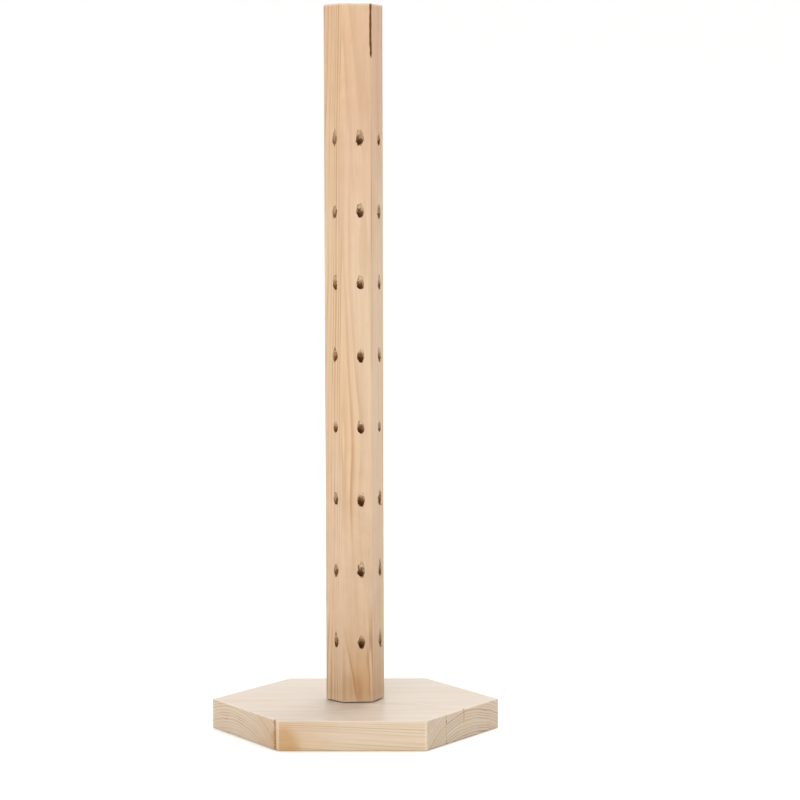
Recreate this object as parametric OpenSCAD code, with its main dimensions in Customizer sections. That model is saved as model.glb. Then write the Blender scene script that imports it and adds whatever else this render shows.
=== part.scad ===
// Rotating yarn and thread tower: a drilled hexagonal pine column that turns on
// a hexagonal pine base. Millimetres, +Z up. The origin is on the surface that
// the base stands on, below the column's axis, and -Y is the front.

/* [Base] */
// Width of the hexagonal base across its flats
base_flats = 145; // [120:1:180]
// Thickness of the base
base_thick = 17; // [15:1:24]
// Distance of the glue joint behind the column's axis
joint_back = 45; // [20:1:55]

/* [Column] */
// Height of the whole tower above the table
tower_h = 420; // [380:1:440]
// Width of the hexagonal column across its flats
column_flats = 30; // [28:0.5:36]
// Radius of the column's rounded arrises
arris_r = 2; // [1:0.5:3]
// Turn of the column on its base at rest, in degrees
column_turn = 8; // [0:1:59]

/* [Peg holes] */
// Diameter of the holes for the pegs
peg_d = 4; // [3:0.5:4]
// Rows of holes up the column
rows = 8; // [1:1:8]
// Height of the lowest row of hole mouths
first_row_z = 52.5; // [50:0.5:60]
// Distance from one row to the next
row_pitch = 41.5; // [36:0.5:42]
// Tilt of the pegs above the horizontal, in degrees
peg_tilt = 45; // [40:1:50]
// Depth of the holes along their axis
peg_depth = 12; // [8:0.5:12]
// Sideways shift of the holes from the middle of each face
peg_shift = 2; // [0:0.5:2.5]

/* [Pivot] */
// Diameter of the pivot bolt's shank
bolt_d = 6; // [5:0.5:6]
// Length of the shank under the head
bolt_len = 30; // [28:1:32]
// Gap between the column's foot and the base
foot_gap = 0.5; // [0.3:0.1:1]
// Outer diameter of the bush that the shank turns in
bush_d = 10; // [9:0.5:12]
// Running clearance round the shank, on the radius
bolt_clear = 0.05; // [0.02:0.01:0.1]
// Up and down play of the bolt under its washer
end_play = 0.3; // [0.2:0.1:0.4]

/* [Hidden] */
$fn = 96;

pine = "BurlyWood";
nylon = "Ivory";
steel = "Silver";
brass = "Goldenrod";

faces = 6;
face_step = 360 / faces;
past = 1;                            // how far a cutter runs past a surface

base_corner_r = base_flats / 2 / cos(30);
column_half = column_flats / 2;
column_z = base_thick + foot_gap;
column_len = tower_h - column_z;
arris_centre_r = (column_half - arris_r) / cos(30);

// flanged bush that lines the base and carries the column's foot
bush_r = bush_d / 2;
flange_r = 9;
flange_sunk = 1;

// counterbore in the underside, with the washer against its roof
pocket_r = 9.5;
pocket_h = 6.5;
washer_r = 9;
washer_bore_r = bolt_d / 2 + 0.2;
washer_h = 1.6;

// round-headed bolt with a hexagon socket
head_r = 5.5;
head_h = 3;
head_edge_h = 1.2;
key_flats = 4;
key_deep = 1.8;
head_top_z = pocket_h - washer_h - end_play;
bolt_tip_z = head_top_z + bolt_len;

// threaded insert in the column's foot
insert_r = 4.5;
insert_len = 15;
socket_spare = 1.5;

// a hexagon with a corner on +X, across the given distance from centre to flat
module hexagon(half_flats) {
  circle(r = half_flats / cos(30), $fn = 6);
}

// the column's section: a hexagon with round arrises
module column_section() {
  tangent = (column_half - arris_r) * tan(30);
  polygon([
    for (i = [0 : faces - 1]) for (side = [-1, 1])
      let (a = 30 + i * face_step)
        [column_half * cos(a) - side * tangent * sin(a),
         column_half * sin(a) + side * tangent * cos(a)]
  ]);
  for (i = [0 : faces - 1])
    rotate(i * face_step) translate([arris_centre_r, 0]) circle(r = arris_r);
}

// a peg hole in the front face, drilled inwards and downwards from its mouth
module peg_hole() {
  translate([peg_shift, -column_half, 0])
    rotate([-90 - peg_tilt, 0, 0])
      translate([0, 0, -peg_d - past]) cylinder(d = peg_d, h = peg_depth + peg_d + past);
}

module base_blank() {
  difference() {
    linear_extrude(base_thick) hexagon(base_flats / 2);
    translate([0, 0, -past]) cylinder(r = bush_r, h = base_thick + 2 * past);
    translate([0, 0, -past]) cylinder(r = pocket_r, h = pocket_h + past);
    translate([0, 0, base_thick - flange_sunk]) cylinder(r = flange_r, h = flange_sunk + past);
  }
}

module base_front_board() {
  color(pine) intersection() {
    base_blank();
    translate([-base_corner_r, -base_flats, -past])
      cube([2 * base_corner_r, base_flats + joint_back, base_thick + 2 * past]);
  }
}

module base_back_board() {
  color(pine) intersection() {
    linear_extrude(base_thick) hexagon(base_flats / 2);
    translate([-base_corner_r, joint_back, -past])
      cube([2 * base_corner_r, base_flats, base_thick + 2 * past]);
  }
}

module pivot_bush() {
  color(nylon) difference() {
    union() {
      translate([0, 0, pocket_h]) cylinder(r = bush_r, h = column_z - pocket_h);
      translate([0, 0, base_thick - flange_sunk])
        cylinder(r = flange_r, h = flange_sunk + foot_gap);
    }
    translate([0, 0, pocket_h - past])
      cylinder(r = bolt_d / 2 + bolt_clear, h = column_z - pocket_h + 2 * past);
  }
}

module bolt_washer() {
  color(steel) translate([0, 0, pocket_h - washer_h]) difference() {
    cylinder(r = washer_r, h = washer_h);
    translate([0, 0, -past]) cylinder(r = washer_bore_r, h = washer_h + 2 * past);
  }
}

module column() {
  color(pine) rotate(column_turn) difference() {
    translate([0, 0, column_z]) linear_extrude(column_len) column_section();
    for (row = [0 : rows - 1], i = [0 : faces - 1])
      translate([0, 0, first_row_z + row * row_pitch]) rotate(i * face_step) peg_hole();
    translate([0, 0, column_z - past]) cylinder(r = insert_r, h = insert_len + past);
    translate([0, 0, column_z])
      cylinder(d = bolt_d + 0.4, h = bolt_tip_z + socket_spare - column_z);
  }
}

module threaded_insert() {
  color(brass) translate([0, 0, column_z]) difference() {
    cylinder(r = insert_r, h = insert_len);
    translate([0, 0, -past]) cylinder(d = bolt_d, h = insert_len + 2 * past);
  }
}

module pivot_bolt() {
  dome_in = 2;
  color(steel) difference() {
    union() {
      translate([0, 0, head_top_z]) cylinder(d = bolt_d, h = bolt_len);
      rotate_extrude() polygon([
        [0, head_top_z], [head_r, head_top_z], [head_r, head_top_z - head_edge_h],
        [head_r - dome_in, head_top_z - head_h], [0, head_top_z - head_h]
      ]);
    }
    translate([0, 0, head_top_z - head_h - past])
      linear_extrude(key_deep + past) hexagon(key_flats / 2);
  }
}

base_front_board();
base_back_board();
pivot_bush();
bolt_washer();
column();
threaded_insert();
pivot_bolt();
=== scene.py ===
"""A bare pine yarn and thread tower: a drilled hexagonal column turning on a hexagonal base.

The file follows the tower as it is put together, from the base up. Metres, +Z up, with -Y
the front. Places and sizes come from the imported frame.
"""

import bmesh
import bpy
import numpy as np
from mathutils import Euler, Matrix, Vector


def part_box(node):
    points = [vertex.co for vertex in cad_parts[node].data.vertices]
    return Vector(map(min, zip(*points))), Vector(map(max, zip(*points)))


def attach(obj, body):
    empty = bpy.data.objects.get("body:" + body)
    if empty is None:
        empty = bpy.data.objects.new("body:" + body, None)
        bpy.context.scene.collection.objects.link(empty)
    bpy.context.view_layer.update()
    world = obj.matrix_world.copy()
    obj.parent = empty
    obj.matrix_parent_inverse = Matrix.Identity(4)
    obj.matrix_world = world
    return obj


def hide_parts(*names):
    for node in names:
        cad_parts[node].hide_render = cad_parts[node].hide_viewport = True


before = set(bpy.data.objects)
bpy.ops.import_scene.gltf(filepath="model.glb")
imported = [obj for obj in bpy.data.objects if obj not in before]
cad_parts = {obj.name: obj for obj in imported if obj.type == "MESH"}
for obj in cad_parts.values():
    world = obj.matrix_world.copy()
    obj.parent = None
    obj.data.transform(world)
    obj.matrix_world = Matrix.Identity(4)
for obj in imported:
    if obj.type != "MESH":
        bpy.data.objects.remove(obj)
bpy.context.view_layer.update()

# ---------------------------------------------------------------- base: the front board
# The wider of the two pine boards that are glued edge to edge to make the base. Its grain
# runs along X, and it was sawn just above the heart of the log. It is planed, left bare, and
# its edges are only broken with sandpaper. A bore and two recesses take the pivot.
mm = 0.001
front_low, front_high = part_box("base_front_board")
base_thick = front_high.z
base_flat = -front_low.y
base_corner = front_high.x
side_lean = np.radians(30)

# The glue joint runs across the base from one sloping side to the other.
joint_y = front_high.y
joint_x = base_corner - joint_y * (base_corner / 2) / base_flat

# The pivot's recesses: a shallow one for the bush's flange, the bore, and the counterbore.
bush_low, bush_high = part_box("pivot_bush")
flange_r = bush_high.x
flange_z = base_thick - 1 * mm
flange_gap = 0.05 * mm
bore_r = 5 * mm
pocket_r = 9.5 * mm
pocket_z = bush_low.z

# How far sandpaper took the edges back, and the point kept free beside each corner.
top_ease = 0.5 * mm
foot_ease = 0.35 * mm
corner_round = 1.2 * mm
corner_margin = 0.4 * mm


def board_outline(corners, rounding, checks, side_steps=16, arc_steps=4):
    """Outline of a board, anticlockwise, from its corners.

    A side's point is its first corner plus a share of the side. A rounded corner's point is
    the centre of its arc plus the radius times the direction at each angle. Each check adds
    three points to a side: two lips and, between them, the bottom, which sinks.
    Returns the points, how far each moves inwards when the edge is broken by one metre, and
    one row for each check with the direction in which its bottom sinks.
    """
    corners = np.array(corners)
    sides = len(corners)
    run = np.roll(corners, -1, axis=0) - corners
    length = np.linalg.norm(run, axis=1)
    run = run / length[:, None]
    outward = np.stack([run[:, 1], -run[:, 0]], axis=1)
    heading = np.arctan2(outward[:, 1], outward[:, 0])
    turn = (heading - np.roll(heading, 1)) % (2 * np.pi)
    cut = np.array(rounding) * np.tan(turn / 2)
    eased = [max(rounding[i], rounding[(i + 1) % sides]) > 0 for i in range(sides)]
    points, inward, sinks = [], [], []
    for i in range(sides):
        after = (i + 1) % sides
        start, end = cut[i], length[i] - cut[after]
        places = np.linspace(start + corner_margin, end - corner_margin, side_steps + 1)
        here = [check for check in checks if check["side"] == i]
        for check in here:
            places = places[np.abs(places - check["at"]) > 1.2 * check["width"]]
        lips = [check["at"] + check["width"] * np.array([-0.5, 0, 0.5]) for check in here]
        places = np.sort(np.concatenate([places, [start, end]] + lips))
        bottoms = np.zeros((len(checks), len(places)))
        for n, check in enumerate(checks):
            bottoms[n] = (places == check["at"]) * (check["side"] == i)
        points.append(corners[i] + places[:, None] * run[i])
        inward.append(np.tile(-outward[i] * eased[i], (len(places), 1)))
        sinks.append(-outward[i] * bottoms[:, :, None])
        if rounding[after] > 0:
            angles = heading[i] + turn[after] * np.linspace(0, 1, arc_steps + 1)[1:-1]
            rays = np.stack([np.cos(angles), np.sin(angles)], axis=1)
            centre = (corners[i] + (length[i] - cut[after]) * run[i]
                      - rounding[after] * outward[i])
            points.append(centre + rounding[after] * rays)
            inward.append(-rays)
            sinks.append(np.zeros((len(checks), len(rays), 2)))
    points = np.concatenate(points)
    inward = np.concatenate(inward)
    sinks = np.concatenate(sinks, axis=1)
    return points, inward, sinks


def slide_along_joint(points, inward):
    """Keeps a board's edge on the glue joint while its other edges are broken.

    A point on the joint moves only along it: at its ends it stays on the neighbouring sloping
    side, which faces 30 degrees from the joint, and in between it moves in proportion.
    """
    on_joint = np.abs(points[:, 1] - joint_y) < 1e-7
    inward[on_joint] = 0
    inward[on_joint, 0] = -points[on_joint, 0] / joint_x / np.cos(side_lean)
    return inward


def eased_rows(top, foot, edge_steps=4, side_steps=9):
    """Rows of (inset, height) down a board's side: a quarter circle over the top edge, the
    side in even steps, and a quarter circle under the foot."""
    quarter = np.linspace(0, np.pi / 2, edge_steps)
    over = [(top_ease * (1 - np.sin(a)), top - top_ease * (1 - np.cos(a))) for a in quarter]
    highest = top - 1.6 * top_ease
    lowest = foot + 2 * foot_ease
    side = [(0, z) for z in np.linspace(highest, lowest, side_steps)]
    under = [(foot_ease * (1 - np.cos(a)), foot + foot_ease * (1 - np.sin(a))) for a in quarter]
    return over + side + under


crisp_angle = np.radians(32)


def grid_quads(index):
    """The quads between each row of point numbers and the next, all the way round. The last
    axis goes round, and the one before it from row to row."""
    beside = np.roll(index, -1, axis=-1)
    return np.stack([index[..., :-1, :], beside[..., :-1, :],
                     beside[..., 1:, :], index[..., 1:, :]], axis=-1)


def skin(name, rows, closed=False, deep=None, worn=None):
    """Makes one closed shell from a grid of points: rows from end to end, columns round."""
    rows = np.asarray(rows)
    count, around = rows.shape[:2]
    index = np.arange(count * around).reshape(count, around)
    if closed:
        index = np.concatenate([index, index[:1]])
    marks = [None if mark is None else np.asarray(mark).reshape(-1) for mark in (deep, worn)]
    return shell(name, rows.reshape(-1, 3), grid_quads(index).reshape(-1, 4), *marks)


def put_in_scene(name, data):
    """Makes an object of a mesh, a light or a camera, at the origin."""
    made = bpy.data.objects.new(name, data)
    bpy.context.scene.collection.objects.link(made)
    return made


def shell(name, points, quads, deep=None, worn=None):
    """Makes a mesh object from points and quads.

    Equal points, such as a pole or a seam, are merged, and the faces are turned outwards.
    Edges sharper than the crisp angle stay sharp, and flat faces keep their own normals. The
    marks say how deep each point lies in a hole or a check, which sets the painted shade there,
    and how worn an edge it is on, which paints it paler, partly as a painted highlight.
    """
    mesh = bpy.data.meshes.new(name)
    mesh.from_pydata(points.tolist(), [], quads.tolist())
    for label, mark in (("deep", deep), ("worn", worn)):
        if mark is not None:
            mesh.attributes.new(label, "FLOAT", "POINT").data.foreach_set("value", mark)
    work = bmesh.new()
    work.from_mesh(mesh)
    bmesh.ops.remove_doubles(work, verts=work.verts, dist=1e-6)
    bmesh.ops.dissolve_degenerate(work, edges=work.edges, dist=1e-7)
    bmesh.ops.recalc_face_normals(work, faces=work.faces)
    work.to_mesh(mesh)
    work.free()
    mesh.polygons.foreach_set("use_smooth", np.ones(len(mesh.polygons), bool))
    mesh.set_sharp_from_angle(angle=crisp_angle)
    piece = put_in_scene(name, mesh)
    weighted = piece.modifiers.new("flat faces stay flat", "WEIGHTED_NORMAL")
    weighted.keep_sharp = True
    return piece


def edge_wear(flat, side_rows):
    """How worn each point of a board's side is: fully where an edge is broken or a corner is
    rounded, and not at all in between. A rounded corner is where the outline changes direction
    by a few degrees at a time."""
    # The worn mark paints these points paler: sanded fibres and a painted highlight.
    step = np.roll(flat, -1, axis=0) - flat
    heading = np.arctan2(step[:, 1], step[:, 0])
    change = np.abs((heading - np.roll(heading, 1) + np.pi) % (2 * np.pi) - np.pi)
    corner = ((change > 0.05) & (change < 0.6)) * 1.0
    broken = np.array([inset > 0.05 * mm for inset, _ in side_rows]) * 1.0
    return np.maximum(broken[:, None], corner[None, :])


def raised(flat, z):
    """Gives each point of a flat outline the height z."""
    return np.concatenate([flat, np.full((len(flat), 1), z)], axis=1)


# Drying checks in the sloping sides: one the whole height of the board, with its foot broken
# out, one in the upper half only, and a torn line just beside the front left corner. Depth and
# the painted shade in each check's bottom are functions of the share of the board's height.
right_side, left_side = 5, 3
side_len = base_corner
checks = [
    {"side": right_side, "at": 0.27 * side_len, "width": 1.5 * mm,
     "depth": lambda up: 0.8 * mm + 0.9 * mm * (up < 0.25),
     "painted_shade": lambda up: 0.8 + 0.2 * (up < 0.25)},
    {"side": right_side, "at": 0.51 * side_len, "width": 1.4 * mm,
     "depth": lambda up: 1.2 * mm * np.clip((up - 0.4) / 0.3, 0, 1),
     "painted_shade": lambda up: 0.7 * np.clip((up - 0.4) / 0.3, 0, 1)},
    {"side": left_side, "at": side_len - 3.8 * mm, "width": 3.4 * mm,
     "depth": lambda up: (1.3 - 0.7 * up) * mm,
     "painted_shade": lambda up: 0.85 + 0.15 * np.clip((0.45 - up) / 0.2, 0, 1)},
]
front_corners = [(base_corner, 0), (joint_x, joint_y), (-joint_x, joint_y),
                 (-base_corner, 0), (-base_corner / 2, -base_flat),
                 (base_corner / 2, -base_flat)]
outline, inward, sinks = board_outline(
    front_corners, [corner_round, 0, 0, corner_round, corner_round, corner_round], checks)
inward = slide_along_joint(outline, inward)
rays = outline / np.linalg.norm(outline, axis=1)[:, None]


def front_row(inset, z):
    """One turn round the board: the outline, moved in by the inset, with its checks sunk."""
    up = z / base_thick
    flat = outline + inset * inward
    for check, sink in zip(checks, sinks):
        flat = flat + check["depth"](up) * sink
    return raised(flat, z)


def between(circle_r, share, inset, z):
    """A row that is share of the way from a circle round the pivot to the outline."""
    return (1 - share) * raised(circle_r * rays, z) + share * front_row(inset, z)


# The board's skin goes up the bore, out over the top, down the side and back in underneath.
side_rows = eased_rows(base_thick, 0)
rows = [raised(bore_r * rays, pocket_z), raised(bore_r * rays, flange_z),
        raised((flange_r + flange_gap) * rays, flange_z),
        raised((flange_r + flange_gap) * rays, base_thick)]
rows += [between(flange_r, share, top_ease, base_thick) for share in (0.3, 0.7, 0.98)]
on_side = slice(len(rows), len(rows) + len(side_rows))
rows += [front_row(inset, z) for inset, z in side_rows]
rows += [between(pocket_r, share, foot_ease, 0) for share in (0.98, 0.7, 0.3)]
rows += [raised(pocket_r * rays, 0), raised(pocket_r * rays, pocket_z)]

side_up = np.array([z for _, z in side_rows]) / base_thick
# The deep mark carries the painted shade into the bottom of each check.
front_deep = np.zeros((len(rows), len(outline)))
for check, sink in zip(checks, sinks):
    bottoms = np.abs(sink).max(axis=1) > 0
    front_deep[on_side] += check["painted_shade"](side_up)[:, None] * bottoms
# The worn mark paints broken edges and rounded corners paler, partly as a painted highlight.
front_worn = np.zeros((len(rows), len(outline)))
front_worn[on_side] = edge_wear(outline, side_rows)
front_board = skin("front_board", rows, closed=True, deep=front_deep, worn=front_worn)


def feed(tree, node, inputs):
    """Gives a node its inputs, which are numbers, colours or the outputs that feed them."""
    for key, value in dict(inputs).items():
        if isinstance(value, bpy.types.NodeSocket):
            tree.links.new(value, node.inputs[key])
        else:
            node.inputs[key].default_value = value


def add(tree, kind, inputs=(), **settings):
    """Adds a shader node with the given inputs and settings."""
    made = tree.nodes.new(kind)
    for key, value in settings.items():
        setattr(made, key, value)
    feed(tree, made, inputs)
    return made


def calc(tree, operation, *values):
    """A sum, product or other step of arithmetic on numbers or outputs."""
    return add(tree, "ShaderNodeMath", enumerate(values), operation=operation).outputs[0]


def ramp(tree, value, low, high, to_low=0.0, to_high=1.0, smooth=True):
    """Carries a value from the range low to high over to the range to_low to to_high."""
    kind = "SMOOTHSTEP" if smooth else "LINEAR"
    return add(tree, "ShaderNodeMapRange", {0: value, 1: low, 2: high, 3: to_low, 4: to_high},
               interpolation_type=kind).outputs[0]


def blend(tree, share, first, second, how="MIX"):
    """Mixes two colours."""
    return add(tree, "ShaderNodeMix", {0: share, 6: first, 7: second},
               data_type="RGBA", blend_type=how).outputs[2]


def vary(tree, amount, noise, base):
    """The base plus the amount times the noise's distance from its middle value."""
    return calc(tree, "MULTIPLY_ADD", calc(tree, "SUBTRACT", noise, 0.5), amount, base)


def tinted(tree, share, colour, tint):
    """The colour, multiplied by the tint to the given share."""
    return blend(tree, share, colour, blend(tree, 1.0, colour, tint, "MULTIPLY"))


def move(tree, operation, first, second=(0, 0, 0)):
    """A step of arithmetic on places."""
    return add(tree, "ShaderNodeVectorMath", {0: first, 1: second}, operation=operation).outputs


def split_xyz(tree, place):
    """The three coordinates of a place."""
    return add(tree, "ShaderNodeSeparateXYZ", {0: place}).outputs


def place_noise(tree, place, scale, detail):
    """Noise that changes from place to place, as often in a metre as the scale says."""
    return add(tree, "ShaderNodeTexNoise",
               {"Vector": place, "Scale": scale, "Detail": detail}).outputs[0]


def grain_noise(tree, place, along, across, detail=2.0):
    """Noise drawn out along X: along and across are how often it changes in a metre."""
    drawn = move(tree, "MULTIPLY", place, (along, across, across))[0]
    return place_noise(tree, drawn, 1.0, detail)


def line_noise(tree, number, scale, detail):
    """Noise that changes along a single number."""
    return add(tree, "ShaderNodeTexNoise", {"W": number, "Scale": scale, "Detail": detail},
               noise_dimensions="1D").outputs[0]


def new_group(name, inputs, outputs):
    """An empty shader node group. Inputs are {name: (type, value)} and outputs {name: type}.
    Returns the group's tree, the values that it is given, and the node that takes its results.
    """
    group = bpy.data.node_groups.new(name, "ShaderNodeTree")
    for label, (kind, value) in inputs.items():
        socket = group.interface.new_socket(name=label, in_out="INPUT",
                                            socket_type="NodeSocket" + kind)
        if value is not None:
            socket.default_value = value
    for label, kind in outputs.items():
        group.interface.new_socket(name=label, in_out="OUTPUT",
                                   socket_type="NodeSocket" + kind)
    given = group.nodes.new("NodeGroupInput").outputs
    return group, given, group.nodes.new("NodeGroupOutput")


def growth_rings():
    """Shader group for softwood, cut from one log whose heart runs along X.

    A ring's number is the distance from the heart over the ring width, bent and made uneven by
    noise. Within a ring the pale early wood darkens slowly to the late wood and stops at once.
    Fibres, hairs, resin ducts and slow drifts of warmth and pink then vary the colour.
    """
    tree, given, result = new_group(
        "growth rings of pine",
        {"Place": ("Vector", None), "End Grain": ("Float", 0.0),
         "Ring Width": ("Float", 0.0016), "Bend": ("Float", 0.004),
         "Contrast": ("Float", 0.6), "End Contrast": ("Float", 0.4),
         "Streaks": ("Float", 0.1),
         "Early Wood": ("Color", (0.8, 0.6, 0.4, 1)), "Late Wood": ("Color", (0.5, 0.3, 0.1, 1)),
         "End Tint": ("Color", (0.9, 0.92, 0.95, 1))},
        {"Color": "Color", "Roughness": "Float", "Height": "Float"})
    place = given["Place"]

    # The distance from the heart, in slow bends and small waves, counted in rings.
    across = move(tree, "MULTIPLY", place, (0, 1, 1))[0]
    radius = move(tree, "LENGTH", across)[1]
    radius = vary(tree, given["Bend"], grain_noise(tree, place, 7, 24, 1.0), radius)
    radius = vary(tree, 1.6 * mm, grain_noise(tree, place, 12, 110, 1.0), radius)
    turns = calc(tree, "DIVIDE", radius, given["Ring Width"])
    phase = calc(tree, "MULTIPLY_ADD", line_noise(tree, turns, 0.3, 0.0), 1.9, turns)
    share = calc(tree, "FRACT", phase)
    number = calc(tree, "FLOOR", phase)

    # Late wood: it rises through the ring, differs from ring to ring and fades along the grain.
    rise = calc(tree, "POWER", ramp(tree, share, 0.2, 0.9), 1.8)
    late = calc(tree, "MULTIPLY", rise, ramp(tree, share, 0.93, 1.0, 1.0, 0.0))
    luck = add(tree, "ShaderNodeTexWhiteNoise", {"W": number}, noise_dimensions="1D").outputs[0]
    late = calc(tree, "MULTIPLY", late, ramp(tree, luck, 0.0, 1.0, 0.25, 1.0, smooth=False))
    fade = ramp(tree, grain_noise(tree, place, 9, 60), 0.38, 0.62, 0.15, 1.0)
    fade = calc(tree, "MAXIMUM", fade, calc(tree, "MULTIPLY", given["End Grain"], 0.6))
    late = calc(tree, "MULTIPLY", late, fade)

    # The colour: rings, then fine streaks, then slow changes of warmth.
    fibres = grain_noise(tree, place, 28, 800, 3.0)
    hairs = grain_noise(tree, place, 160, 5200, 1.0)
    drift = grain_noise(tree, place, 9, 60)
    ducts = ramp(tree, grain_noise(tree, place, 110, 2100, 0.0), 0.76, 0.84)
    strength = calc(tree, "MULTIPLY_ADD", given["End Grain"], given["End Contrast"],
                    given["Contrast"])
    strength = calc(tree, "MULTIPLY", late, strength)
    colour = blend(tree, strength, given["Early Wood"], given["Late Wood"])
    shade = vary(tree, given["Streaks"], fibres, 1.0)
    shade = vary(tree, 0.14, drift, shade)
    shade = vary(tree, 0.07, hairs, shade)
    shade = calc(tree, "MULTIPLY_ADD", ducts, -0.1, shade)
    grey = add(tree, "ShaderNodeCombineColor", {0: shade, 1: shade, 2: shade}).outputs[0]
    colour = blend(tree, 1.0, colour, grey, "MULTIPLY")
    warm = ramp(tree, grain_noise(tree, place, 5, 40, 1.0), 0.4, 0.6, 0.0, 0.6)
    colour = tinted(tree, warm, colour, (1.0, 0.97, 0.84, 1))
    pink = ramp(tree, grain_noise(tree, place, 6, 75, 1.0), 0.45, 0.62, 0.0, 0.6)
    colour = tinted(tree, pink, colour, (1.0, 0.93, 0.93, 1))
    colour = tinted(tree, given["End Grain"], colour, given["End Tint"])

    rough = calc(tree, "MULTIPLY_ADD", fibres, 0.16, 0.56)
    rough = calc(tree, "MULTIPLY_ADD", late, -0.1, rough)
    height = calc(tree, "MULTIPLY_ADD", late, 0.35, calc(tree, "MULTIPLY", fibres, 0.7))
    height = calc(tree, "MULTIPLY_ADD", hairs, 0.5, height)
    feed(tree, result, {"Color": colour, "Roughness": rough, "Height": height})
    return tree


def resin_patch():
    """Shader group: 1 near a centre, fading to 0 at the reach, with a ragged edge."""
    tree, given, result = new_group(
        "resin patch",
        {"Place": ("Vector", None), "Centre": ("Vector", None),
         "Reach": ("Float", 0.02), "Stretch": ("Vector", None)},
        {"Amount": "Float"})
    away = move(tree, "SUBTRACT", given["Place"], given["Centre"])[0]
    away = move(tree, "MULTIPLY", away, given["Stretch"])[0]
    far = calc(tree, "DIVIDE", move(tree, "LENGTH", away)[1], given["Reach"])
    far = vary(tree, 0.7, place_noise(tree, given["Place"], 90.0, 2.0), far)
    feed(tree, result, {"Amount": ramp(tree, far, 0.35, 1.0, 1.0, 0.0)})
    return tree


def heartwood_tongue():
    """Shader group: a tongue of heartwood that runs up one face and fades with height.

    Across is the distance from the tongue's middle, which leans, over its half width, which
    grows upwards. Inside is 1 where that is below one, and Outline is 1 near one, where the
    last dark ring crosses the face.
    """
    tree, given, result = new_group(
        "heartwood tongue",
        {"Place": ("Vector", None), "Middle": ("Float", 0.0), "Lean": ("Float", 0.0),
         "Half Width": ("Float", 0.004), "Spread": ("Float", 0.0), "Foot": ("Float", 0.0),
         "Height": ("Float", 0.05), "Behind": ("Float", 0.0)},
        {"Inside": "Float", "Outline": "Float"})
    x, y, z = split_xyz(tree, given["Place"])
    up = calc(tree, "SUBTRACT", z, given["Foot"])
    middle = calc(tree, "MULTIPLY_ADD", up, given["Lean"], given["Middle"])
    middle = vary(tree, 1.4 * mm, line_noise(tree, z, 45.0, 1.0), middle)
    half_width = calc(tree, "MULTIPLY_ADD", up, given["Spread"], given["Half Width"])
    across = calc(tree, "ABSOLUTE", calc(tree, "SUBTRACT", x, middle))
    across = calc(tree, "DIVIDE", across, half_width)
    fade = ramp(tree, calc(tree, "DIVIDE", up, given["Height"]), 0.15, 1.0, 1.0, 0.0)
    fade = calc(tree, "MULTIPLY", fade, calc(tree, "LESS_THAN", y, given["Behind"]))
    inside = calc(tree, "MULTIPLY", ramp(tree, across, 0.9, 1.02, 1.0, 0.0), fade)
    outline = calc(tree, "MULTIPLY", ramp(tree, across, 0.72, 0.96),
                   ramp(tree, across, 0.96, 1.08, 1.0, 0.0))
    feed(tree, result, {"Inside": inside, "Outline": calc(tree, "MULTIPLY", outline, fade)})
    return tree


def wear_and_painted_light_group():
    """Shader group for bare pine's worn edges and for its painted light.

    Upward faces are painted paler, a painted reflection of the white surroundings. Broken edges
    show pale fibres and a painted highlight. Inside holes and checks the wood is painted dark
    as shade, with a border that noise drawn out along the grain frays.
    """
    tree, given, result = new_group(
        "wear and painted light of bare wood",
        {"Color": ("Color", (0.8, 0.6, 0.4, 1)), "Place": ("Vector", None),
         "Upward": ("Float", 0.0), "Painted Veil": ("Float", 0.0), "Deep": ("Float", 0.0),
         "Worn": ("Float", 0.0), "Painted Reflection Colour": ("Color", (0.455, 0.40, 0.35, 1)),
         "Pale Edge And Painted Highlight": ("Color", (0.74, 0.64, 0.50, 1)),
         "Painted Shade Colour": ("Color", (0.26, 0.105, 0.018, 1))},
        {"Color": "Color", "Painted Paleness And Gloss": "Float", "Painted Shade Mask": "Float"})
    # Painted reflection: upward faces are painted paler, standing in for the white sheen of the
    # surroundings at a grazing view, unevenly along the grain.
    uneven = ramp(tree, grain_noise(tree, given["Place"], 9, 170), 0.35, 0.65, 0.7, 1.2)
    painted_paleness = calc(tree, "MULTIPLY", ramp(tree, given["Upward"], 0.5, 0.95), given["Painted Veil"])
    painted_paleness = calc(tree, "MULTIPLY", painted_paleness, uneven)
    # Painted shade: inside holes and checks the wood is painted dark, with a border frayed along
    # the grain.
    splinters = grain_noise(tree, given["Place"], 90, 1000, 1.0)
    ragged = vary(tree, 2.0, splinters, given["Deep"])
    painted_shade = calc(tree, "MULTIPLY", ramp(tree, ragged, 0.25, 0.8, 0.0, 0.95),
                ramp(tree, given["Deep"], 0.0, 0.15))
    colour = blend(tree, painted_paleness, given["Color"], given["Painted Reflection Colour"])
    # Worn edges are painted paler, for sanded fibres and a painted highlight.
    colour = blend(tree, calc(tree, "MULTIPLY", given["Worn"], 0.3), colour, given["Pale Edge And Painted Highlight"])
    colour = blend(tree, painted_shade, colour, given["Painted Shade Colour"])
    feed(tree, result, {"Color": colour, "Painted Paleness And Gloss": painted_paleness, "Painted Shade Mask": painted_shade})
    return tree


pine_rings = growth_rings()
pine_resin = resin_patch()
pine_tongue = heartwood_tongue()
pine_painted_light_and_wear = wear_and_painted_light_group()


def new_material(name):
    """A new material, with its node tree and its shader."""
    made = bpy.data.materials.new(name)
    made.use_nodes = True
    return made, made.node_tree, made.node_tree.nodes["Principled BSDF"]


def relief(tree, height, strength, distance):
    """The normal of a surface that stands proud where the height is great."""
    return add(tree, "ShaderNodeBump", {"Height": height, "Strength": strength,
                                        "Distance": distance}).outputs["Normal"]


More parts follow.
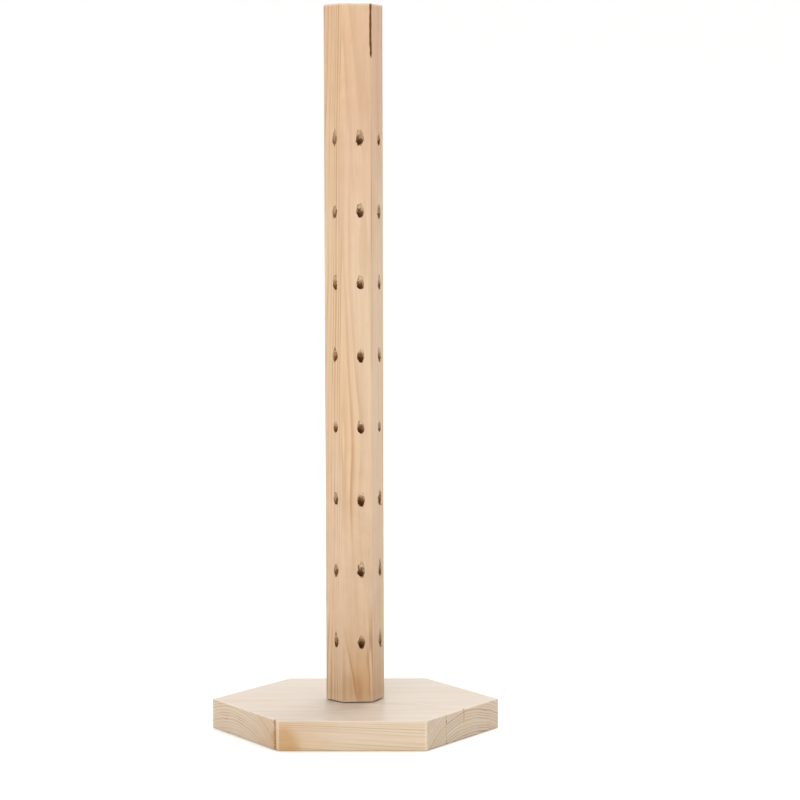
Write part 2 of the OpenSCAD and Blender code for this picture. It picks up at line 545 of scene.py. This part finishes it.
def pine(name, heart, lean, grain, early, late, patches=(), tongue=None, along="X",
         painted_veil=0.0, quiet=(0, 1, 1)):
    """Bare planed pine. Heart is a point on the log's heart and lean turns the log, in degrees.

    Grain holds values for the growth rings, early and late are their colours, and along is the
    axis that the grain follows, so that faces across it show end grain. Patches are (centre,
    stretch, reach, colour, strength) of wood stained by its own resin, and the tongue, if
    there is one, holds the settings of a tongue of heartwood. Painted veil is how strongly the
    upward faces are painted paler, a painted reflection of the white surroundings. Quiet is
    (from, to, share): on the flat-sawn faces, which look along Y, the figure fades to that
    share of its contrast between those heights.
    """
    made, tree, shader = new_material(name)
    coordinates = add(tree, "ShaderNodeTexCoord").outputs
    where = coordinates["Object"]
    from_heart = move(tree, "SUBTRACT", where, heart)[0]
    tilt = [np.radians(angle) for angle in lean]
    place = add(tree, "ShaderNodeMapping", {"Vector": from_heart, "Rotation": tilt}).outputs[0]
    facing = split_xyz(tree, coordinates["Normal"])
    end = ramp(tree, calc(tree, "ABSOLUTE", facing[along]), 0.35, 0.8)
    low, high, share = quiet
    flat_sawn = ramp(tree, calc(tree, "ABSOLUTE", facing["Y"]), 0.7, 0.95)
    calm = calc(tree, "MULTIPLY", ramp(tree, split_xyz(tree, where)["Z"], low, high), flat_sawn)
    calm = ramp(tree, calm, 0, 1, grain["Contrast"], grain["Contrast"] * share, smooth=False)
    rings = add(tree, "ShaderNodeGroup",
                {**grain, "Contrast": calm, "Place": place, "End Grain": end,
                 "Early Wood": early, "Late Wood": late}, node_tree=pine_rings)
    colour = rings.outputs["Color"]
    for centre, stretch, reach, stain, strength in patches:
        patch = add(tree, "ShaderNodeGroup", {"Place": where, "Centre": centre, "Reach": reach,
                                              "Stretch": stretch}, node_tree=pine_resin)
        amount = calc(tree, "MULTIPLY", patch.outputs["Amount"], strength)
        colour = tinted(tree, amount, colour, stain)
    if tongue:
        heartwood = add(tree, "ShaderNodeGroup", {"Place": where, **tongue},
                        node_tree=pine_tongue)
        colour = tinted(tree, heartwood.outputs["Inside"], colour, (0.92, 0.80, 0.62, 1))
        colour = tinted(tree, heartwood.outputs["Outline"], colour, (0.80, 0.70, 0.58, 1))
    # The deep mark sets the painted shade in holes, checks and the crack; the worn mark paints
    # edges paler, partly as a painted highlight.
    deep, worn = (add(tree, "ShaderNodeAttribute", attribute_name=mark).outputs["Fac"]
                  for mark in ("deep", "worn"))
    wear_plus_painted_light = add(tree, "ShaderNodeGroup",
               {"Color": colour, "Place": place, "Upward": facing["Z"], "Painted Veil": painted_veil,
                "Deep": deep, "Worn": worn}, node_tree=pine_painted_light_and_wear).outputs

    # The sanded top is the smoothest, and torn wood is the roughest: the masks of the painted
    # paleness and of the painted shade say where.
    dull = calc(tree, "MULTIPLY_ADD", wear_plus_painted_light["Painted Paleness And Gloss"], -0.45, rings.outputs["Roughness"])
    dull = calc(tree, "MAXIMUM", dull, wear_plus_painted_light["Painted Shade Mask"])
    feed(tree, shader,
         {"Base Color": wear_plus_painted_light["Color"], "Roughness": dull, "Sheen Weight": 0.1,
          "Sheen Roughness": 0.5,
          "Normal": relief(tree, rings.outputs["Height"], 0.45, 0.12 * mm)})
    return made


# Three stains of resin: a dark one at the front left corner, a wide faint one round it, and a
# short dash along the grain on the top face.
# Its upward faces are painted paler, a painted reflection of the white surroundings.
front_pine = pine(
    "front board pine", heart=(0, -28 * mm, -45 * mm), lean=(0, -2.4, 0.8),
    grain={"Ring Width": 1.7 * mm, "Bend": 7 * mm, "Contrast": 0.85, "End Contrast": 0.6,
           "Streaks": 0.22},
    early=(0.565, 0.445, 0.325, 1), late=(0.35, 0.235, 0.135, 1), painted_veil=0.55,
    patches=[((-base_corner / 2 + 2 * mm, -base_flat, 3 * mm), (1, 1, 0.8), 13 * mm,
              (0.84, 0.70, 0.48, 1), 0.95),
             ((-base_corner / 2, -base_flat, 8 * mm), (1, 1, 1), 38 * mm,
              (0.95, 0.88, 0.78, 1), 0.8),
             ((54.9 * mm, -38 * mm, base_thick), (0.5, 3.2, 1), 1.3 * mm,
              (0.62, 0.46, 0.32, 1), 0.9)])
front_board.data.materials.append(front_pine)
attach(front_board, "base")
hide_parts("base_front_board")

# ---------------------------------------------------------------- base: the back board
# A narrow strip from another log, glued behind the first to make up the width of the base.
# It is planed flush with it, and its rings curve the other way, so that the base stays flat.
back_corners = [(joint_x, joint_y), (base_corner / 2, base_flat),
                (-base_corner / 2, base_flat), (-joint_x, joint_y)]
back_rounding = [0, corner_round, corner_round, 0]
back_outline, back_inward, _ = board_outline(back_corners, back_rounding, [])
back_inward = slide_along_joint(back_outline, back_inward)
back_middle = np.array([0.0, (joint_y + base_flat) / 2])


def back_row(inset, z, share=1.0):
    """One turn round the strip, drawn in towards its middle to the given share."""
    flat = back_outline + inset * back_inward
    return raised(back_middle + share * (flat - back_middle), z)


rows = [back_row(top_ease, base_thick, share) for share in (0, 0.5, 0.97)]
on_side = slice(len(rows), len(rows) + len(side_rows))
rows += [back_row(inset, z) for inset, z in side_rows]
rows += [back_row(foot_ease, 0, share) for share in (0.97, 0.5, 0)]
back_worn = np.zeros((len(rows), len(back_outline)))
back_worn[on_side] = edge_wear(back_outline, side_rows)
back_board = skin("back_board", rows, deep=0 * back_worn, worn=back_worn)
# Its upward faces are painted paler, a painted reflection of the white surroundings.
back_pine = pine(
    "back board pine", heart=(0, 62 * mm, 58 * mm), lean=(0, 1.2, -0.6),
    grain={"Ring Width": 2.3 * mm, "Bend": 6 * mm, "Contrast": 0.6, "End Contrast": 0.6,
           "Streaks": 0.2},
    early=(0.575, 0.475, 0.365, 1), late=(0.40, 0.30, 0.20, 1), painted_veil=0.55)
back_board.data.materials.append(back_pine)
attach(back_board, "base")
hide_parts("base_back_board")

# ---------------------------------------------------------------- pivot bush
# A flanged bush of natural nylon, moulded, pressed into the base from above. The bolt turns
# in it, and its flange stands a little proud, so that the column's foot rides on it.
round_steps = np.linspace(0, 2 * np.pi, 96, endpoint=False)
turning = np.stack([np.cos(round_steps), np.sin(round_steps)], axis=1)


def turned(name, profile):
    """A turned or moulded ring: each (radius, height) of the profile swept round the axis."""
    rows = [raised(radius * turning, z) for radius, z in profile]
    return skin(name, rows, closed=True)


def rounded_ring(inner, outer, low, high, edge):
    """Profile of a plain ring whose four edges are cut back at 45 degrees."""
    return [(inner, low + edge), (inner, high - edge), (inner + edge, high),
            (outer - edge, high), (outer, high - edge), (outer, low + edge),
            (outer - edge, low), (inner + edge, low)]


bush_bore = 3.05 * mm
bush_top = bush_high.z
bore_ease = 0.3 * mm
rim_ease = 0.4 * mm
bush = turned("bush", [
    (bush_bore, pocket_z + bore_ease), (bush_bore, bush_top - bore_ease),
    (bush_bore + bore_ease, bush_top), (flange_r - rim_ease, bush_top),
    (flange_r, bush_top - rim_ease), (flange_r, flange_z), (bore_r, flange_z),
    (bore_r, pocket_z + rim_ease), (bore_r - rim_ease, pocket_z),
    (bush_bore + bore_ease, pocket_z)])


def lathe_marks():
    """Shader group: fine rings round the Z axis, as a cutting tool or a mould leaves them."""
    tree, given, result = new_group(
        "lathe marks",
        {"Place": ("Vector", None), "Spacing": ("Float", 0.0003), "Depth": ("Float", 1.0)},
        {"Height": "Float", "Wear": "Float"})
    x, y, z = split_xyz(tree, given["Place"])
    flat = add(tree, "ShaderNodeCombineXYZ", {0: x, 1: y}).outputs[0]
    path = calc(tree, "ADD", move(tree, "LENGTH", flat)[1], z)
    rings = line_noise(tree, calc(tree, "DIVIDE", path, given["Spacing"]), 1.0, 2.0)
    blotch = place_noise(tree, given["Place"], 420.0, 3.0)
    feed(tree, result, {"Height": calc(tree, "MULTIPLY", rings, given["Depth"]),
                        "Wear": ramp(tree, blotch, 0.38, 0.66)})
    return tree


turned_marks = lathe_marks()


def turned_material(name, colour, worn, roughness, metallic, spacing):
    """Metal or plastic with lathe marks the given spacing apart. Handling turns it to the worn
    colour in blotches, and makes it duller there."""
    made, tree, shader = new_material(name)
    where = add(tree, "ShaderNodeTexCoord").outputs["Object"]
    marks = add(tree, "ShaderNodeGroup", {"Place": where, "Spacing": spacing},
                node_tree=turned_marks).outputs
    feed(tree, shader,
         {"Base Color": blend(tree, marks["Wear"], colour, worn), "Metallic": metallic,
          "Roughness": ramp(tree, marks["Wear"], 0, 1, roughness, roughness + 0.18),
          "Normal": relief(tree, marks["Height"], 0.3, 0.03 * mm)})
    return made


nylon = turned_material("natural nylon", (0.80, 0.78, 0.70, 1), (0.70, 0.67, 0.58, 1),
                        0.42, 0.0, 0.4 * mm)
bush.data.materials.append(nylon)
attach(bush, "base")
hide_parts("pivot_bush")

# ---------------------------------------------------------------- washer under the base
# A stamped steel washer, zinc plated, against the roof of the counterbore. It spreads the
# bolt head's pull over the soft wood.
washer_low, washer_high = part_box("bolt_washer")
washer_bore = 3.2 * mm
washer_ease = 0.2 * mm
washer = turned("washer", rounded_ring(washer_bore, washer_high.x, washer_low.z, washer_high.z,
                                       washer_ease))
zinc = turned_material("zinc plate", (0.62, 0.63, 0.63, 1), (0.50, 0.50, 0.48, 1),
                       0.28, 1.0, 0.15 * mm)
washer.data.materials.append(zinc)
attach(washer, "base")
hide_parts("bolt_washer")

# ---------------------------------------------------------------- the column
# One stick of pine, planed to a hexagon with round arrises and drilled by hand: the slanted
# drill tears the fibres above each hole. A drying crack runs down from its top at one arris.
column_low, column_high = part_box("column")
foot_z, top_z = column_low.z, column_high.z
half = 15 * mm
arris_r = 2 * mm
column_turn = np.radians(8)
face_heading = np.radians(-90 + 60 * np.arange(6))
half_face = np.radians(30)
tangent = (half - arris_r) * np.tan(half_face)
arris_out = (half - arris_r) / np.cos(half_face)
column_top_ease = 0.8 * mm
column_foot_ease = 0.4 * mm

# Peg holes: a tilted bore in each face of every row, a little to one side of the face's
# middle. The skin round each is a square cell that reaches from arris to arris.
peg_r = 2 * mm
peg_shift = 2 * mm
peg_tilt = np.radians(45)
peg_depth = 12 * mm
peg_cone = 0.3 * mm
lip_in_by = 0.3 * mm
longest_tear = 4.4 * mm
first_row_z = 52.5 * mm
row_pitch = 41.5 * mm
row_count = 8
row_middles = first_row_z + row_pitch * np.arange(row_count)
cell = tangent
cell_steps = 12

crack_len = 31 * mm
crack_wide = 1.75 * mm
crack_deep = 7 * mm
crack_face = 0


def column_columns():
    """The points round the column: six flats, each followed by its arris.

    A flat's points share the face's normal and a base point on the line at arris radius
    inside it. An arris has one base point, its centre, and a fan of normals. The arris with
    the crack has five points at its middle: two lips, two on the walls and the bottom.
    Returns base points, normals, how far each swings aside, and its share of the depth.
    """
    plain_fan = [8, 19, 30, 41, 52]
    crack_fan = [2, 28, 29, 30, 31, 32, 58]
    crack_aside = np.array([0, -1, -0.92, 0, 0.92, 1, 0])
    crack_sunk = np.array([0, 0, 0.04, 1, 0.04, 0, 0])
    base, angle, lip, bottom = [], [], [], []
    across = np.linspace(-tangent, tangent, cell_steps + 1)
    flat_part = np.zeros(cell_steps + 1)
    for face, out in enumerate(face_heading):
        middle = (half - arris_r) * np.array([np.cos(out), np.sin(out)])
        right = np.array([-np.sin(out), np.cos(out)])
        base.append(middle + across[:, None] * right)
        angle.append(np.full(cell_steps + 1, out))
        cracked = face == crack_face
        fan = np.array(crack_fan if cracked else plain_fan)
        centre = arris_out * np.array([np.cos(out + half_face), np.sin(out + half_face)])
        base.append(np.tile(centre, (len(fan), 1)))
        angle.append(out + np.radians(fan))
        lip += [flat_part, crack_aside[:len(fan)] * cracked]
        bottom += [flat_part, crack_sunk[:len(fan)] * cracked]
    return (np.concatenate(base), np.concatenate(angle),
            np.concatenate(lip), np.concatenate(bottom))


base_points, base_angle, lip, bottom = column_columns()


def crack_shape(z):
    """The crack at height z: how wide it is, how deep it is, and its sideways wander.

    It closes over the last sixteenth of its length. The width and the wander ripple as sums
    of two sine waves of the height, and the depth grows evenly towards the top.
    """
    down = (top_z - z) / crack_len
    open_share = np.clip((1 - down) / 0.06, 0, 1) ** 0.7
    ripple = 0.07 * np.sin(z / (1.9 * mm)) + 0.08 * np.sin(z / (0.83 * mm) + 1)
    width = crack_wide * open_share * (0.93 + ripple)
    depth = crack_deep * open_share * (0.75 + 0.25 * (1 - down))
    wander = 0.1 * mm * np.sin(z / (4.7 * mm)) + 0.06 * mm * np.sin(z / (2.3 * mm))
    return width, depth, wander * open_share


def column_row(inset, z, share=1.0):
    """One turn round the column: each base point plus the arris radius, less the inset, times
    its normal. Lips turn aside to open the crack, and its bottom sinks towards the axis."""
    width, depth, wander = crack_shape(z)
    swing = (lip * width / 2 + (np.abs(lip) + bottom > 0) * wander) / arris_r
    normal = base_angle + swing
    rays = np.stack([np.cos(normal), np.sin(normal)], axis=1)
    flat = base_points + (arris_r - inset) * rays
    inward = -base_points / np.linalg.norm(base_points, axis=1)[:, None]
    flat = flat + (bottom * depth)[:, None] * inward
    return raised(share * flat, z)


def column_heights():
    """Heights of the column's rows: even steps beside every peg hole, wider ones between, and
    fine ones beside the crack."""
    lowest = foot_z + column_foot_ease
    highest = top_z - column_top_ease
    levels = [lowest]
    for middle in row_middles:
        levels += list(np.linspace(levels[-1], middle - cell, 7)[1:])
        levels += list(np.linspace(middle - cell, middle + cell, cell_steps + 1)[1:])
    below_crack = top_z - crack_len * 1.05
    levels += list(np.linspace(levels[-1], below_crack, 8)[1:])
    levels += list(np.linspace(below_crack, highest, 44)[1:])
    return np.array(levels)


def turned_to_rest(points):
    """Turns points about the axis, from the column's own square position to its rest."""
    c, s = np.cos(column_turn), np.sin(column_turn)
    return points @ np.array([[c, s, 0], [-s, c, 0], [0, 0, 1]])


# The bore for the insert in the column's foot, and the narrower one for the bolt's end.
socket_r = 4.5 * mm
socket_z = foot_z + 15 * mm
tip_r = 3.2 * mm
tip_z = 36.1 * mm
column_rays = base_points / np.linalg.norm(base_points, axis=1)[:, None]
quarter = np.linspace(0, np.pi / 2, 5)
foot_rows = [raised(0 * column_rays, tip_z), raised(tip_r * column_rays, tip_z),
             raised(tip_r * column_rays, socket_z), raised(socket_r * column_rays, socket_z),
             raised(socket_r * column_rays, foot_z)]
foot_rows += [column_row(column_foot_ease * (1 - np.sin(a)),
                         foot_z + column_foot_ease * (1 - np.cos(a))) for a in quarter[:-1]]
heights = column_heights()
shaft_rows = [column_row(0, z) for z in heights]
head_rows = [column_row(column_top_ease * (1 - np.cos(a)),
                        top_z - column_top_ease * (1 - np.sin(a))) for a in quarter[1:]]
head_rows += [column_row(column_top_ease, top_z, share) for share in (0.96, 0.8, 0.5, 0)]
grid = np.array(foot_rows + shaft_rows + head_rows)
grid_rows, grid_around = grid.shape[:2]
grid_index = np.arange(grid_rows * grid_around).reshape(grid_rows, grid_around)
quads = grid_quads(grid_index)

# The crack is painted dark inside as shade, and its lips and the broken edges of both ends are
# marked worn, which paints them paler, partly as a painted highlight.
crack_foot = top_z - crack_len
cracked_at = np.clip((grid[:, 0, 2] - crack_foot) / (0.06 * crack_len), 0, 1)[:, None]
below_pole = (np.arange(grid_rows) < grid_rows - 1)[:, None]
grid_deep = cracked_at * (bottom > 0) * below_pole
grid_worn = np.zeros(grid.shape[:2])
grid_worn[-len(head_rows) - 1:-3] = 1
grid_worn[len(foot_rows) - 4:len(foot_rows) + 1] = 0.6
grid_worn = np.maximum(grid_worn, cracked_at * (np.abs(lip) == 1))

# The squares of the grid in which a peg hole is cut are left out, and their borders kept.
kept = np.ones(quads.shape[:2], bool)
borders = []
face_starts = [int(np.argmin(np.abs(base_angle - out))) for out in face_heading]
cell_feet = [len(foot_rows) + int(np.argmin(np.abs(heights - (middle - cell))))
             for middle in row_middles]
for start in face_starts:
    for low in cell_feet:
        kept[low:low + cell_steps, start:start + cell_steps] = False
        block = grid_index[low:low + cell_steps + 1, start:start + cell_steps + 1]
        borders.append(np.concatenate([block[0, :-1], block[:-1, -1],
                                       block[-1, :0:-1], block[:0:-1, 0]]))
borders = np.array(borders)


def peg_hole_rings(seed):
    """All the peg holes at once, in the frame of their face: across, inwards and up.

    Round a hole, the angle is that of the line from its middle to the border of its cell. The
    mouth is where the tilted drill's wall meets the face: an ellipse, taller than wide. Above
    it the fibres tore away in splinters, which leaves a shallow hollow with a ragged outline,
    and below it the thin lip chipped to a point. The wall follows the drill's axis down and
    inwards, roughened a little, to a shallow cone. Also returns how deep each point lies, which
    sets the painted shade in the hole, and how pale the mouth is painted, for torn fibres and
    a painted highlight.
    """
    luck = np.random.default_rng(seed)
    holes, around = len(borders), 4 * cell_steps

    # The border of the cell, seen from the hole's middle, and the angles round the drill.
    edge = np.linspace(-cell, cell, cell_steps + 1)
    low_side = np.stack([edge[:-1], np.full(cell_steps, -cell)], axis=1)
    square = np.concatenate([low_side, low_side[:, ::-1] * [-1, 1],
                             -low_side, low_side[:, ::-1] * [1, -1]])
    toward = square - [peg_shift, 0]
    c, s = np.cos(peg_tilt), np.sin(peg_tilt)
    psi = np.arctan2(toward[:, 1] * c, toward[:, 0])
    above = np.clip(np.sin(psi), 0, 1) ** 0.8
    aslant = luck.normal(0, 0.35, (holes, 1))
    below = np.clip(-np.sin(psi + aslant), 0, 1) ** 4

    # How the mouth is torn: wavy all round, splintered above and chipped below.
    waves = np.zeros((holes, around))
    for count, size in ((2, 0.08), (3, 0.13), (5, 0.11), (9, 0.06), (14, 0.03)):
        waves += size * luck.normal(size=(holes, 1)) * np.sin(
            count * psi + luck.uniform(0, 2 * np.pi, (holes, 1)))
    splinter = luck.uniform(0, 1, (holes, around))
    splinter = (0.6 * splinter + 0.4 * np.roll(splinter, 1, axis=1)) ** 1.3
    torn = above * luck.uniform(1 * mm, longest_tear, (holes, 1)) * (0.3 + 0.7 * splinter)
    chipped = below * luck.uniform(0.1, 1.1, (holes, 1)) * mm
    lean = luck.normal(0, 0.18, (holes, 1))
    spread = 1.0 + 0.8 * np.abs(waves) + luck.uniform(0, 0.12, (holes, 1))
    mouth_x = peg_r * np.cos(psi)
    mouth_z = peg_r * np.sin(psi) / c
    rim_x = mouth_x * spread * (1 - 0.3 * torn / longest_tear) + lean * torn
    rim_z = mouth_z * (1.0 + 0.5 * np.abs(waves)) + torn - chipped

    def ring(x, inside, z):
        """One ring of every hole."""
        parts = [np.broadcast_to(part, (holes, around)) for part in (x, inside, z)]
        return np.stack(parts, axis=-1)

    def wall(length, shrink=1.0, rough=0.0):
        """A circle across the drill, length down its axis, roughened outwards."""
        out = peg_r * shrink + rough
        x, lift = out * np.cos(psi), out * np.sin(psi)
        return ring(x, lift * s + length * c, lift * c - length * s)

    # Four rings on the face, two in the torn hollow, and the rest down the bore.
    rings = [ring((1 - k) * toward[:, 0] + k * rim_x, 0.0,
                  (1 - k) * toward[:, 1] + k * rim_z) for k in (0.5, 0.8, 0.94, 1.0)]
    mouth_ring = len(rings) - 1
    hollow = (0.15 + 0.9 * splinter) * mm
    start = -peg_r * np.sin(psi) * s / c
    torn_wall = peg_r * np.abs(waves) * 1.5 + 0.8 * chipped
    lip_in = wall(start + lip_in_by + 0.35 * above * mm, rough=torn_wall)
    for share, sink in ((0.12, 0.7), (0.55, 1.0)):
        step = (1 - share) * rings[mouth_ring] + share * lip_in
        step[..., 1] += sink * hollow * (0.3 + 0.7 * above)
        rings.append(step)
    first_wall = len(rings)
    rings.append(lip_in)
    for share in (0.06, 0.14, 0.25, 0.4, 0.6, 0.8, 1.0):
        length = (1 - share) * (start + lip_in_by) + share * (peg_depth - 2 * peg_cone)
        burst = torn_wall * np.clip(1 - 4 * share, 0, 1)
        rough = (0.08 + 0.3 * (share < 0.2)) * mm * (share < 1)
        rings.append(wall(length, rough=burst + rough * luck.uniform(0, 1, (holes, around))))
    rings += [wall(np.full(around, peg_depth - peg_cone), 0.6),
              wall(np.full(around, peg_depth), 0.0)]
    rings = np.stack(rings, axis=1)

    # Painted shade: darker further in, among the splinters and low on the wall. Pale at the
    # mouth, for torn fibres and a painted highlight.
    deep = np.clip((rings[..., 1] - 0.4 * mm) / (2.8 * mm), 0, 1)
    torn_rings = slice(mouth_ring + 1, first_wall + 1)
    deep[:, torn_rings] = np.maximum(deep[:, torn_rings], 0.05 + 0.4 * splinter[:, None])
    low_on_wall = np.clip(0.2 - rings[:, first_wall:, :, 2] / (2.2 * mm), 0, 1)
    deep[:, first_wall:] = np.maximum(deep[:, first_wall:], 0.8 * low_on_wall)
    deep[:, :mouth_ring + 1] = 0
    worn = np.zeros(deep.shape)
    worn[:, mouth_ring - 1] = 0.4 * splinter
    worn[:, mouth_ring] = 0.5 + splinter
    return rings + [peg_shift, 0, 0], deep, worn


# Every hole is carried from the frame of its face to its place on the column, and its rings
# are joined to the border of its cell.
holes, hole_deep, hole_worn = peg_hole_rings(seed=7)
out = np.repeat(face_heading, row_count)[:, None, None]
hole_z = np.tile(row_middles, 6)[:, None, None]
across, inside, up = holes[..., 0], holes[..., 1], holes[..., 2]
hole_points = np.stack([(half - inside) * np.cos(out) - across * np.sin(out),
                        (half - inside) * np.sin(out) + across * np.cos(out),
                        up + hole_z], axis=-1)
ring_index = grid_index.size + np.arange(hole_deep.size).reshape(hole_deep.shape)
chain = np.concatenate([borders[:, None, :], ring_index], axis=1)
column_points = np.concatenate([grid.reshape(-1, 3), hole_points.reshape(-1, 3)])
column_quads = np.concatenate([quads[kept], grid_quads(chain).reshape(-1, 4)])
column_deep = np.concatenate([grid_deep.reshape(-1), hole_deep.reshape(-1)])
column_worn = np.concatenate([grid_worn.reshape(-1), hole_worn.reshape(-1)])
column = shell("tower_column", turned_to_rest(column_points), column_quads,
               column_deep, column_worn)

# Three stains: the wood is a little browner towards the foot and towards the top, and most
# of all at the foot of its front face, where the tongue of heartwood stands.
column_pine = pine(
    "column pine", heart=(4 * mm, 24 * mm, 150 * mm), lean=(0, 90.9, 0.4),
    grain={"Ring Width": 1.25 * mm, "Bend": 3 * mm, "Contrast": 1.3, "Streaks": 0.22},
    early=(0.565, 0.405, 0.267, 1), late=(0.36, 0.205, 0.09, 1), along="Z",
    patches=[((0, 0, 0), (1, 1, 0.15), 34 * mm, (0.90, 0.86, 0.82, 1), 0.9),
             ((0, 0, top_z), (1, 1, 0.2), 34 * mm, (0.95, 0.88, 0.84, 1), 0.9),
             ((-2 * mm, -16 * mm, foot_z), (1.6, 1.0, 0.6), 15 * mm, (0.93, 0.84, 0.70, 1), 0.9)],
    quiet=(0.1, 0.26, 0.28),
    tongue={"Middle": 5.4 * mm, "Lean": -0.113, "Half Width": 4.1 * mm, "Spread": 0.065,
            "Foot": foot_z, "Height": 52 * mm, "Behind": -11 * mm})
column.data.materials.append(column_pine)
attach(column, "column")
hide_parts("column")

# ---------------------------------------------------------------- insert in the column's foot
# A turned brass insert with a coarse thread outside, which cuts its own way into the end
# grain, and an M6 thread inside for the bolt.
insert_low, insert_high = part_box("threaded_insert")
insert_r = insert_high.x


def threaded_rows(low, high, radius, depth, pitch, per_turn=8):
    """Rows of a thread: the radius falls by its depth as the height passes each turn's groove,
    and the groove climbs by one pitch for each turn round the axis."""
    rows = []
    for z in np.arange(low, high, pitch / per_turn):
        phase = ((z - low) / pitch - round_steps / (2 * np.pi)) % 1
        fade = np.clip(min(z - low, high - z) / pitch, 0, 1)
        groove = fade * depth * np.abs(2 * phase - 1)
        rows.append(raised((radius - groove)[:, None] * turning, z))
    return rows


insert_bore = 3.02 * mm
insert_mouth = 3.3 * mm
mouth_deep = 0.3 * mm
lead_in = 0.6 * mm
nose_taper = 0.7 * mm
insert_rows = [raised(insert_mouth * turning, insert_low.z)]
insert_rows += threaded_rows(insert_low.z + mouth_deep, insert_high.z - lead_in, insert_r,
                             depth=0.6 * mm, pitch=2.5 * mm)
insert_rows += [raised((insert_r - nose_taper) * turning, insert_high.z),
                raised(insert_mouth * turning, insert_high.z),
                raised(insert_bore * turning, insert_high.z - mouth_deep),
                raised(insert_bore * turning, insert_low.z + mouth_deep)]
insert = skin("insert", insert_rows, closed=True)
brass = turned_material("turned brass", (0.70, 0.48, 0.18, 1), (0.52, 0.34, 0.13, 1),
                        0.3, 1.0, 0.2 * mm)
insert.data.materials.append(brass)
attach(insert, "column")
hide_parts("threaded_insert")

# ---------------------------------------------------------------- pivot bolt
# An M6 round-headed steel bolt, zinc plated, put in from below with a hexagon key. Locked in
# the insert, it turns with the column and keeps it on the base.
bolt_low, bolt_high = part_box("pivot_bolt")
head_r = bolt_high.x
head_thick = 3 * mm
head_under = bolt_low.z + head_thick
head_edge = 0.9 * mm
dome_inner_r = 3 * mm
shank_r = 2.98 * mm
plain_end = head_under + 13 * mm
bolt_ease = 0.2 * mm
bolt_tip_r = 2.4 * mm
tip_lead = 0.5 * mm

# The socket for the key: its radius is its half width over the cosine of the angle from the
# middle of the nearest flat. It ends in the cone that its drill left.
key_half = 2 * mm
key_deep = 1.8 * mm
key_ease = 0.15 * mm
key_cone = 0.4 * mm
key_angle = (round_steps + np.pi / 6) % (np.pi / 3) - np.pi / 6
key_r = (key_half / np.cos(key_angle))[:, None]

bolt_rows = [raised(0 * turning, bolt_high.z), raised(bolt_tip_r * turning, bolt_high.z)]
bolt_rows += threaded_rows(plain_end, bolt_high.z - tip_lead, shank_r,
                           depth=0.55 * mm, pitch=1 * mm)[::-1]
bolt_rows += [raised(shank_r * turning, plain_end - bolt_ease),
              raised(shank_r * turning, head_under + bolt_ease),
              raised((shank_r + bolt_ease) * turning, head_under),
              raised((head_r - bolt_ease) * turning, head_under),
              raised(head_r * turning, head_under - bolt_ease)]
bolt_rows += [raised((head_r - (head_r - dome_inner_r) * t ** 1.6) * turning,
                     head_under - head_edge - (head_thick - head_edge) * np.sin(t * np.pi / 2))
              for t in np.linspace(0, 1, 10)]
bolt_rows += [raised((key_r + key_ease) * turning, bolt_low.z),
              raised(key_r * turning, bolt_low.z + key_ease),
              raised(key_r * turning, bolt_low.z + key_deep),
              raised(0 * turning, bolt_low.z + key_deep + key_cone)]
bolt = skin("bolt", bolt_rows)
bolt_zinc = turned_material("bolt zinc", (0.58, 0.59, 0.60, 1), (0.44, 0.44, 0.43, 1),
                            0.3, 1.0, 0.12 * mm)
bolt.data.materials.append(bolt_zinc)
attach(bolt, "column")
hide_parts("pivot_bolt")

# ---------------------------------------------------------------- the studio
# A white sweep that is the same from every side: a flat floor that curves up to a wall far
# from the tower. Large soft lights stand in front, above and behind.
floor_r = 3.0
curve_r = 1.4
wall_z = 4.2
floor_gap = 0.2 * mm
bend = np.linspace(0, np.pi / 2, 13)
sweep_profile = [(0, 0), (0.6, 0), (floor_r, 0)]
sweep_profile += [(floor_r + curve_r * np.sin(a), curve_r * (1 - np.cos(a))) for a in bend[1:]]
sweep_profile += [(floor_r + curve_r, wall_z)]
sweep_rows = np.array([raised(radius * turning, z - floor_gap) for radius, z in sweep_profile])
sweep = bpy.data.meshes.new("sweep")
sweep_index = np.arange(sweep_rows[..., 0].size).reshape(sweep_rows.shape[:2])
sweep_quads = grid_quads(sweep_index).reshape(-1, 4)
sweep.from_pydata(sweep_rows.reshape(-1, 3).tolist(), [], sweep_quads[:, ::-1].tolist())
sweep.polygons.foreach_set("use_smooth", np.ones(len(sweep.polygons), bool))
studio_floor = put_in_scene("studio_floor", sweep)
paper, paper_tree, paper_shader = new_material("white paper")
feed(paper_tree, paper_shader, {"Base Color": (0.96, 0.96, 0.958, 1), "Roughness": 0.9,
                                "Specular IOR Level": 0.1})
sweep.materials.append(paper)

world = bpy.data.worlds.new("studio air")
bpy.context.scene.world = world
world.use_nodes = True
feed(world.node_tree, world.node_tree.nodes["Background"],
     {"Color": (1.0, 1.0, 1.0, 1), "Strength": 1.0})


def softbox(name, place, aim, size, watts):
    """A square soft light that faces a point."""
    lamp = bpy.data.lights.new(name, "AREA")
    lamp.shape = "SQUARE"
    lamp.size = size
    lamp.energy = watts
    holder = put_in_scene(name, lamp)
    holder.location = place
    holder.rotation_euler = (Vector(aim) - Vector(place)).to_track_quat("-Z", "Y").to_euler()


tower_middle = (0, 0, 0.2)
softbox("key_light", (-0.7, -2.1, 1.6), tower_middle, size=1.2, watts=24)
softbox("top_light", (0.3, 1.2, 2.3), tower_middle, size=1.2, watts=32)

bpy.context.scene.view_settings.view_transform = "Standard"
bpy.context.scene.view_settings.look = "None"

camera_data = bpy.data.cameras.new("camera")
camera_data.sensor_width = 36.0
camera_data.lens = 132.1
camera_data.clip_end = 50.0
camera = put_in_scene("camera", camera_data)
camera_place = (0.0448, -1.7, 0.315)
view_down, view_left, view_roll = np.radians([4.135, 0.616, -0.13])
aim = Euler((np.pi / 2 - view_down, 0, view_left)).to_matrix().to_4x4()
camera.matrix_world = (Matrix.Translation(camera_place) @ aim
                       @ Matrix.Rotation(view_roll, 4, "Z"))
bpy.context.scene.camera = camera
